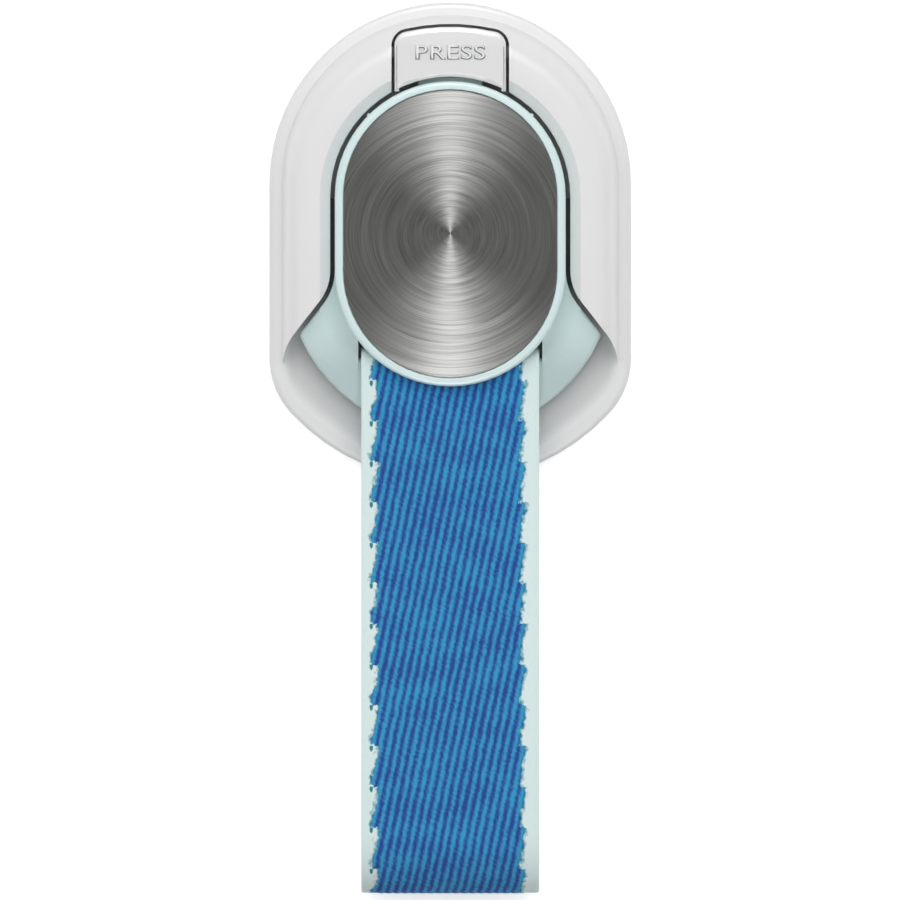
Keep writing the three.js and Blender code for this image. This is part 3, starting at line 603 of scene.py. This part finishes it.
# %% Route of the webbing
STRAP_WIDTH = 16 * MM
STRAP_THICKNESS = 0.9 * MM
STRAP_GAP = 0.15 * MM
STRAP_END_Y = -59.4 * MM
LOOP_HEIGHT = 8.45 * MM
LOOP_BEND_LENGTH = 5.4 * MM
BAR_THICKNESS = 1.4 * MM
BAR_EDGE_Y = -11.2 * MM
LANDING_Y = -23.3 * MM
DROP_LENGTH = 8 * MM
BAR_STEPS = 40
BACK_STEPS = 40
LOOP_STEPS = 60
FRONT_STEPS = 80


def ease(share):
    """Level at both ends, from 0 to 1."""
    return (1 - math.cos(share * math.pi)) / 2


def strap_route():
    """The middle line of the webbing in Y and Z: round the bar, down the back, up the front."""
    half = STRAP_THICKNESS / 2
    bend = BAR_THICKNESS / 2 + STRAP_GAP + half
    bar_y = BAR_EDGE_Y - BAR_THICKNESS / 2
    bar_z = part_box("carriage")[0].z + bend + half
    end_y = STRAP_END_Y + LOOP_BEND_LENGTH
    loop_half = (LOOP_HEIGHT - STRAP_THICKNESS) / 2
    points = []
    for i in range(BAR_STEPS + 1):
        turn = math.pi / 2 - math.pi * i / BAR_STEPS
        points.append((bar_y + bend * math.cos(turn), bar_z + bend * math.sin(turn)))
    for i in range(BACK_STEPS + 1):
        low_z = bar_z - bend + (half - bar_z + bend) * ease(i / BACK_STEPS)
        points.append((LANDING_Y - DROP_LENGTH * i / BACK_STEPS, low_z))
    for i in range(LOOP_STEPS + 1):
        turn = -math.pi / 2 - math.pi * i / LOOP_STEPS
        points.append((end_y + math.cos(turn) * (LOOP_BEND_LENGTH - half),
                       half + loop_half + math.sin(turn) * loop_half))
    start_z = half + 2 * loop_half
    for i in range(1, FRONT_STEPS + 1):
        points.append((end_y + (bar_y - end_y) * i / FRONT_STEPS,
                       start_z + (bar_z + bend - start_z) * ease(i / FRONT_STEPS)))
    return points


route = strap_route()
route_lengths = [0]
for before, after in zip(route, route[1:]):
    route_lengths.append(route_lengths[-1] + math.dist(before, after))
strap_length = route_lengths[-1]
print("webbing length in mm:", round(strap_length / MM, 1))

# %% Twill pattern
RIB_PITCH = 0.755 * MM
RIB_HEIGHT = 0.1 * MM
RIB_RUN = strap_length / round(strap_length / (3.63 * MM))
FIRST_RIB_X = -7.38 * MM
FIRST_STEP_PX = 462
LEFT_STEPS = ((0, -6.86), (0.15, -7.12), (0.35, -6.9), (0.55, -6.66), (1, -6.46))
RIGHT_STEPS = ((0, 6.28), (0.3, 6.37), (0.7, 6.6), (0.95, 6.73), (1, 6.65))


def front_distance(y):
    """How far along the route its front layer passes a given Y."""
    for i in range(len(route) - 1, 0, -1):
        if route[i - 1][0] <= y <= route[i][0]:
            share = (y - route[i - 1][0]) / (route[i][0] - route[i - 1][0])
            return route_lengths[i - 1] + share * (route_lengths[i] - route_lengths[i - 1])


step_distance = front_distance(photo_place(0, FIRST_STEP_PX)[1])


def along_curve(points, share):
    """Straight lines between points, in millimetres, as a value in metres."""
    for (start_share, start), (stop_share, stop) in zip(points, points[1:]):
        if share <= stop_share:
            part = (share - start_share) / (stop_share - start_share)
            return (start + (stop - start) * part) * MM


print("ribs lean over by one pitch in mm:", round(RIB_RUN / MM, 2))

# %% Webbing mesh
COLUMNS = 200
ROWS = 226
EDGE_ROUND = 0.3 * MM
EDGE_DROP = 0.12 * MM
BORDER_SLOPE = 0.2 * MM
SELVEDGE_LEVEL = 0.35
DIRECTION_REACH = 0.3 * MM
SEAM_JOIN = 0.003 * MM
CLOTH_SMOOTH_DEGREES = 60


def route_at(distance):
    """Place and outward direction at a distance along the route."""
    index = 1
    while index < len(route) - 1 and route_lengths[index] < distance:
        index += 1
    before, after = Vector((0, *route[index - 1])), Vector((0, *route[index]))
    span = route_lengths[index] - route_lengths[index - 1]
    share = (distance - route_lengths[index - 1]) / span
    along = (after - before).normalized()
    return before.lerp(after, share), Vector((0, -along.z, along.y))


def smooth_route_at(distance):
    """The same, with the direction averaged over a short length so that no facet shows."""
    place, outward = route_at(distance)
    for offset in (-DIRECTION_REACH, DIRECTION_REACH):
        outward = outward + route_at((distance + offset) % strap_length)[1]
    return place, outward.normalized()


def rib_relief(x, cycle):
    """Height of the twill at x: round ribs with narrow grooves, and level selvedges."""
    phase = ((x - FIRST_RIB_X) / RIB_PITCH - cycle) % 1
    rib = math.sqrt(max(0, 1 - (2 * phase - 1) ** 2))
    inside = min(x - along_curve(LEFT_STEPS, cycle), along_curve(RIGHT_STEPS, cycle) - x)
    field = min(max(inside / BORDER_SLOPE, 0), 1)
    return RIB_HEIGHT * (rib * field + SELVEDGE_LEVEL * (1 - field))


def make_strap():
    bpy.ops.mesh.primitive_grid_add(x_subdivisions=COLUMNS, y_subdivisions=ROWS, size=1,
                                    calc_uvs=True)
    piece = bpy.context.object
    piece.name = "webbing_loop"
    rows = {}
    for vertex in piece.data.vertices:
        row = round(vertex.co.y, 6)
        if row not in rows:
            rows[row] = smooth_route_at((row + 0.5) * strap_length)
        place, outward = rows[row]
        x = vertex.co.x * STRAP_WIDTH
        cycle = (((row + 0.5) * strap_length - step_distance) / RIB_RUN) % 1
        edge = max(0, (abs(x) - STRAP_WIDTH / 2 + EDGE_ROUND) / EDGE_ROUND)
        height = STRAP_THICKNESS / 2 - RIB_HEIGHT - EDGE_DROP * edge ** 2 + rib_relief(x, cycle)
        vertex.co = place + outward * height + Vector((x, 0, 0))
    return piece


def thicken_strap(piece):
    select_only(piece)
    bpy.ops.object.mode_set(mode="EDIT")
    bpy.ops.mesh.select_all(action="SELECT")
    bpy.ops.mesh.remove_doubles(threshold=SEAM_JOIN)
    bpy.ops.mesh.normals_make_consistent(inside=False)
    bpy.ops.object.mode_set(mode="OBJECT")
    solid = piece.modifiers.new("thickness", "SOLIDIFY")
    solid.thickness = STRAP_THICKNESS - RIB_HEIGHT
    solid.offset = -1
    apply_all_modifiers(piece)
    smooth_faces(piece, CLOTH_SMOOTH_DEGREES)
    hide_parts("finger_strap")
    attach(piece, "slider")
    count_faces(piece)


strap = make_strap()
thicken_strap(strap)

# %% [markdown]
# Polyester webbing: bright blue ribs over a darker ground, with pale mint selvedges. The
# pattern reads the webbing's own UV map, turned to true lengths, so the ribs in the colour lie
# on the ribs in the mesh. Rib pitch, lean and the stepped border were measured on the
# photograph: 0.76 mm, leaning 12 degrees. Real yarns are about 0.15 mm and are drawn so; each
# rib is twisted, which shows as short slanting strokes. Loose blue fibres make a ragged fringe
# along the border, and a dark stitch shows on the left selvedge once in every run.

# %% Webbing material
YARN_SIZE = 0.15 * MM
TWIST_PITCH = 0.5 * MM
TWIST_LEAN = 5.6
TWIST_WANDER = 16.0
RIB_WANDER = 0.3
CREST_PHASE = 0.15
YARN_CONTRAST = 1.1
CLOUD_CONTRAST = 0.8
WAVER_REACH = 0.2
RAGGED_REACH = 1.0 * MM
LEFT_BASE = -7.5
RIGHT_BASE = 6
FIELD_EDGE = 0.2 * MM
FRINGE_EDGE = 0.28 * MM
FRINGE_LEVEL = 0.95
STITCH_PLACE = (-7.1 * MM, 0.95)
STITCH_HALF_SIZE = (0.17 * MM, 0.1)
CLOTH_ROUGHNESS = 0.8
CLOTH_SHINE = 0.15
CLOTH_SHEEN = 0.02
BLUES = ((0.0, "#244A97"), (0.3, "#2A63AB"), (0.6, "#327FBD"), (1.0, "#35A0CE"))
FRINGE_BLUE = "#3F93AE"
STITCH_TEAL = "#2F8A93"
SELVEDGE_MINTS = ("#DDF0EF", "#E8F8F6")


def border(tree, cycle, points, base):
    """The stepped border's X in metres. A curve holds 0 to 1, so it counts from a base in mm."""
    curve = add(tree, "ShaderNodeFloatCurve", links={"Value": cycle})
    line = curve.mapping.curves[0]
    line.points[0].location = (0, points[0][1] - base)
    line.points[1].location = (1, points[-1][1] - base)
    for share, value in points[1:-1]:
        line.points.new(share, value - base)
    curve.mapping.update()
    return maths(tree, "MULTIPLY_ADD", curve.outputs[0], MM, base * MM)


def colour_ramp(tree, source, stops):
    ramp = add(tree, "ShaderNodeValToRGB", links={"Fac": source})
    elements = ramp.color_ramp.elements
    elements[0].position, elements[0].color = stops[0][0], colour(stops[0][1])
    elements[1].position, elements[1].color = stops[-1][0], colour(stops[-1][1])
    for position, code in stops[1:-1]:
        elements.new(position).color = colour(code)
    return ramp.outputs["Color"]


def noise_at(tree, place, stretch, detail=2):
    """Noise whose grain has its own size in X and in Y, in metres."""
    scaled = add(tree, "ShaderNodeVectorMath", {"operation": "MULTIPLY"},
                 {1: (1 / stretch[0], 1 / stretch[1], 0)}, {0: place})
    return add(tree, "ShaderNodeTexNoise", values={"Scale": 1, "Detail": detail},
               links={"Vector": scaled.outputs[0]}).outputs["Fac"]


def centred_noise(tree, place, stretch, reach, detail=2):
    """Noise that swings evenly about 0, from half the reach below it to half above."""
    return maths(tree, "MULTIPLY_ADD", noise_at(tree, place, stretch, detail), reach, -reach / 2)


def squared(tree, value):
    return maths(tree, "POWER", maths(tree, "ABSOLUTE", value), 2.0)


def webbing_material():
    material, tree, surface = new_material("twill_polyester_webbing")
    uv = add(tree, "ShaderNodeTexCoord").outputs["UV"]
    flat = add(tree, "ShaderNodeVectorMath", {"operation": "MULTIPLY_ADD"},
               {1: (STRAP_WIDTH, strap_length, 0), 2: (-STRAP_WIDTH / 2, -step_distance, 0)},
               {0: uv}).outputs[0]
    across, along, _ = xyz_of(tree, flat)
    runs = maths(tree, "DIVIDE", along, RIB_RUN)
    cycle = maths(tree, "FLOORED_MODULO", runs, 1.0)
    waver = centred_noise(tree, flat, (0.35 * MM, 0.6 * MM), WAVER_REACH)
    uneven = maths(tree, "FLOORED_MODULO", maths(tree, "ADD", runs, waver), 1.0)

    ribs = maths(tree, "DIVIDE", maths(tree, "SUBTRACT", across, FIRST_RIB_X), RIB_PITCH)
    wander = maths(tree, "MULTIPLY", noise_at(tree, flat, (1.5 * MM, 1.5 * MM)), RIB_WANDER)
    phase = maths(tree, "ADD", maths(tree, "SUBTRACT", ribs, runs), wander)
    turn = maths(tree, "MULTIPLY", maths(tree, "SUBTRACT", phase, CREST_PHASE), 2 * math.pi)
    ridge = maths(tree, "MULTIPLY_ADD", maths(tree, "COSINE", turn), -0.5, 0.5)

    leaning = add(tree, "ShaderNodeCombineXYZ",
                  links={"X": maths(tree, "MULTIPLY", phase, RIB_PITCH), "Y": along}).outputs[0]
    yarn = noise_at(tree, leaning, (YARN_SIZE, 5 * YARN_SIZE))
    cloud = centred_noise(tree, flat, (4 * MM, 2.5 * MM), CLOUD_CONTRAST, 1)
    twist_turn = maths(tree, "ADD", maths(tree, "DIVIDE", along, TWIST_PITCH / (2 * math.pi)),
                       maths(tree, "MULTIPLY", phase, TWIST_LEAN))
    twist_turn = maths(tree, "MULTIPLY_ADD", noise_at(tree, flat, (0.7 * MM, 1.1 * MM)),
                       TWIST_WANDER, twist_turn)
    patchy = noise_at(tree, flat, (1.1 * MM, 1.6 * MM))
    twist = maths(tree, "MULTIPLY", maths(tree, "SINE", twist_turn),
                  maths(tree, "MULTIPLY_ADD", patchy, 0.5, -0.13))
    tone = maths(tree, "MULTIPLY_ADD", yarn, YARN_CONTRAST, -YARN_CONTRAST / 2)
    for other in (ridge, twist, cloud):
        tone = maths(tree, "ADD", tone, other)
    blue = colour_ramp(tree, tone, BLUES)

    ragged = centred_noise(tree, flat, (0.4 * MM, 0.6 * MM), RAGGED_REACH)
    left = maths(tree, "SUBTRACT", across, border(tree, uneven, LEFT_STEPS, LEFT_BASE))
    right = maths(tree, "SUBTRACT", border(tree, uneven, RIGHT_STEPS, RIGHT_BASE), across)
    inside = maths(tree, "ADD", maths(tree, "MINIMUM", left, right), ragged)
    field = maths(tree, "MULTIPLY_ADD", inside, 1 / FIELD_EDGE, 0.1, clamp=True)
    fringe = maths(tree, "MULTIPLY_ADD", inside, 1 / FRINGE_EDGE, FRINGE_LEVEL, clamp=True)

    aside, ahead = [
        maths(tree, "DIVIDE", maths(tree, "SUBTRACT", value, middle), half)
        for value, middle, half in zip((across, cycle), STITCH_PLACE, STITCH_HALF_SIZE)
    ]
    stitch_reach = maths(tree, "ADD", squared(tree, aside), squared(tree, ahead))
    stitch = maths(tree, "MULTIPLY_ADD", stitch_reach, -1.5, 1.7, clamp=True)

    cloth = mix_colours(tree, yarn, *SELVEDGE_MINTS)
    cloth = mix_colours(tree, stitch, cloth, STITCH_TEAL)
    cloth = mix_colours(tree, fringe, cloth, FRINGE_BLUE)
    cloth = mix_colours(tree, field, cloth, blue)
    bump = add(tree, "ShaderNodeBump", values={"Strength": 0.6, "Distance": 0.04 * MM},
               links={"Height": yarn})
    tree.links.new(cloth, surface.inputs["Base Color"])
    tree.links.new(bump.outputs["Normal"], surface.inputs["Normal"])
    surface.inputs["Roughness"].default_value = CLOTH_ROUGHNESS
    surface.inputs["Specular IOR Level"].default_value = CLOTH_SHINE
    surface.inputs["Sheen Weight"].default_value = CLOTH_SHEEN
    surface.inputs["Sheen Roughness"].default_value = 0.5
    return material


paint(strap, webbing_material())
print(strap.active_material.name, "has", len(strap.active_material.node_tree.nodes), "nodes")

# %% [markdown]
# Closed-cell foam tape holds the housing to the phone. Only its cut edge shows, a little inside
# the housing's rim. Its CAD node is plain enough to be painted as it is. Real cells are about
# 0.2 mm, and they are drawn so.

# %% Foam tape
CELL_SIZE = 0.2 * MM


def foam_tape():
    material, tree, surface = new_material("closed_cell_foam_tape")
    cells = add(tree, "ShaderNodeTexVoronoi", values={"Scale": 1 / CELL_SIZE},
                links={"Vector": object_place(tree)})
    mix = mix_colours(tree, cells.outputs["Distance"], "#C9C9C6", "#E2E2DF")
    bump = add(tree, "ShaderNodeBump", values={"Strength": 0.6, "Distance": 0.03 * MM},
               links={"Height": cells.outputs["Distance"]})
    tree.links.new(mix, surface.inputs["Base Color"])
    tree.links.new(bump.outputs["Normal"], surface.inputs["Normal"])
    surface.inputs["Roughness"].default_value = 0.95
    return material


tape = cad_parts["adhesive_pad"]
paint(tape, foam_tape())
count_faces(tape)

# %% [markdown]
# The spring under the button is a coil of drawn steel wire, out of sight at rest.

# %% Button spring
WIRE_GRAIN = 0.1 * MM
COIL_SMOOTH_DEGREES = 60


def spring_wire():
    material, tree, surface = new_material("drawn_steel_wire")
    streaks = add(tree, "ShaderNodeTexNoise", values={"Scale": 1 / WIRE_GRAIN},
                  links={"Vector": object_place(tree)})
    mix = mix_colours(tree, streaks.outputs["Fac"], "#9C9C99", "#C6C6C2")
    tree.links.new(mix, surface.inputs["Base Color"])
    surface.inputs["Metallic"].default_value = 1
    surface.inputs["Roughness"].default_value = 0.3
    return material


def make_spring():
    piece = merged_copy("button_spring", "spring_coil")
    smooth_faces(piece, COIL_SMOOTH_DEGREES)
    paint(piece, spring_wire())
    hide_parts("button_spring")
    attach(piece, "housing")
    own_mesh(piece)
    count_faces(piece)


make_spring()

# %% [markdown]
# A pale table under the part. The camera sees it white, as the photograph's background is, and
# so do reflections, while the soft contact shadow stays.

# %% Floor
FLOOR_SIZE = 1.2
FLOOR_DROP = 0.02 * MM
FLOOR_GLOW = 0.55


def floor_material():
    material = bpy.data.materials.new("pale_table")
    material.use_nodes = True
    tree = material.node_tree
    tree.nodes.clear()
    rays = add(tree, "ShaderNodeLightPath")
    seen = maths(tree, "MAXIMUM", rays.outputs["Is Camera Ray"], rays.outputs["Is Glossy Ray"])
    seen = maths(tree, "MAXIMUM", seen, rays.outputs["Is Transmission Ray"])
    table = add(tree, "ShaderNodeBsdfDiffuse", values={"Color": colour("#F4F4F4")})
    glow = add(tree, "ShaderNodeEmission", values={"Color": (1, 1, 1, 1), "Strength": FLOOR_GLOW})
    added = add(tree, "ShaderNodeAddShader", links={0: table.outputs[0], 1: glow.outputs[0]})
    mix = add(tree, "ShaderNodeMixShader",
              links={0: seen, 1: table.outputs[0], 2: added.outputs[0]})
    add(tree, "ShaderNodeOutputMaterial", links={"Surface": mix.outputs[0]})
    return material


def add_floor():
    bpy.ops.mesh.primitive_plane_add(size=FLOOR_SIZE, location=(0, 0, -FLOOR_DROP))
    floor = bpy.context.object
    floor.name = "table"
    put_place_in_mesh(floor)
    paint(floor, floor_material())
    count_faces(floor)


add_floor()

# %% [markdown]
# The lamps are split by what they do, so that the bright steel and the pale plastic can be lit
# apart. Three broad soft ones, overhead and to the sides, light the surfaces: flat ones get
# their full colour and slopes fall off. They are left out of reflections. The others are seen
# in reflections alone. Beyond the head and beyond the loop, a narrow lamp draws the plate's bow
# tie and a wide one softens it; a low one beyond the loop and two at the sides give the glossy
# edges their bright lines.

# %% Lamps and world
AIM = (0, -0.01, 0.004)
WORLD_STRENGTH = 0.25


def add_lamp(name, place, size, power, shines=True, lights=True):
    bpy.ops.object.light_add(type="AREA", location=place)
    lamp = bpy.context.object
    lamp.name = name
    lamp.data.shape = "RECTANGLE"
    lamp.data.size, lamp.data.size_y = size
    lamp.data.energy = power
    lamp.rotation_euler = (Vector(AIM) - lamp.location).to_track_quat("-Z", "Y").to_euler()
    lamp.visible_glossy = shines
    lamp.visible_diffuse = lights
    lamp.visible_camera = False


add_lamp("key", (0, 0.2, 0.6), (0.9, 0.6), 3.1, shines=False)
add_lamp("left_fill", (-0.62, 0.1, 0.3), (1.0, 0.5), 0.8, shines=False)
add_lamp("right_fill", (0.62, 0.1, 0.3), (1.0, 0.5), 0.8, shines=False)
add_lamp("beyond_head", (0, 0.46, 0.36), (0.16, 0.3), 1.7, lights=False)
add_lamp("beyond_loop", (0, -0.42, 0.38), (0.16, 0.3), 1.7, lights=False)
add_lamp("head_glow", (0, 0.46, 0.36), (0.7, 0.3), 1.5, lights=False)
add_lamp("loop_glow", (0, -0.42, 0.38), (0.7, 0.3), 1.5, lights=False)
add_lamp("lip_light", (0, -0.5, 0.17), (0.3, 0.12), 0.45, lights=False)
add_lamp("left_side", (-0.45, -0.01, 0.16), (0.5, 0.08), 0.3, lights=False)
add_lamp("right_side", (0.45, -0.01, 0.16), (0.5, 0.08), 0.3, lights=False)


def set_world():
    world = bpy.data.worlds.new("soft_room")
    world.use_nodes = True
    background = world.node_tree.nodes["Background"]
    background.inputs["Color"].default_value = (1, 1, 1, 1)
    background.inputs["Strength"].default_value = WORLD_STRENGTH
    bpy.context.scene.world = world


set_world()
bpy.context.scene.view_settings.view_transform = "Standard"
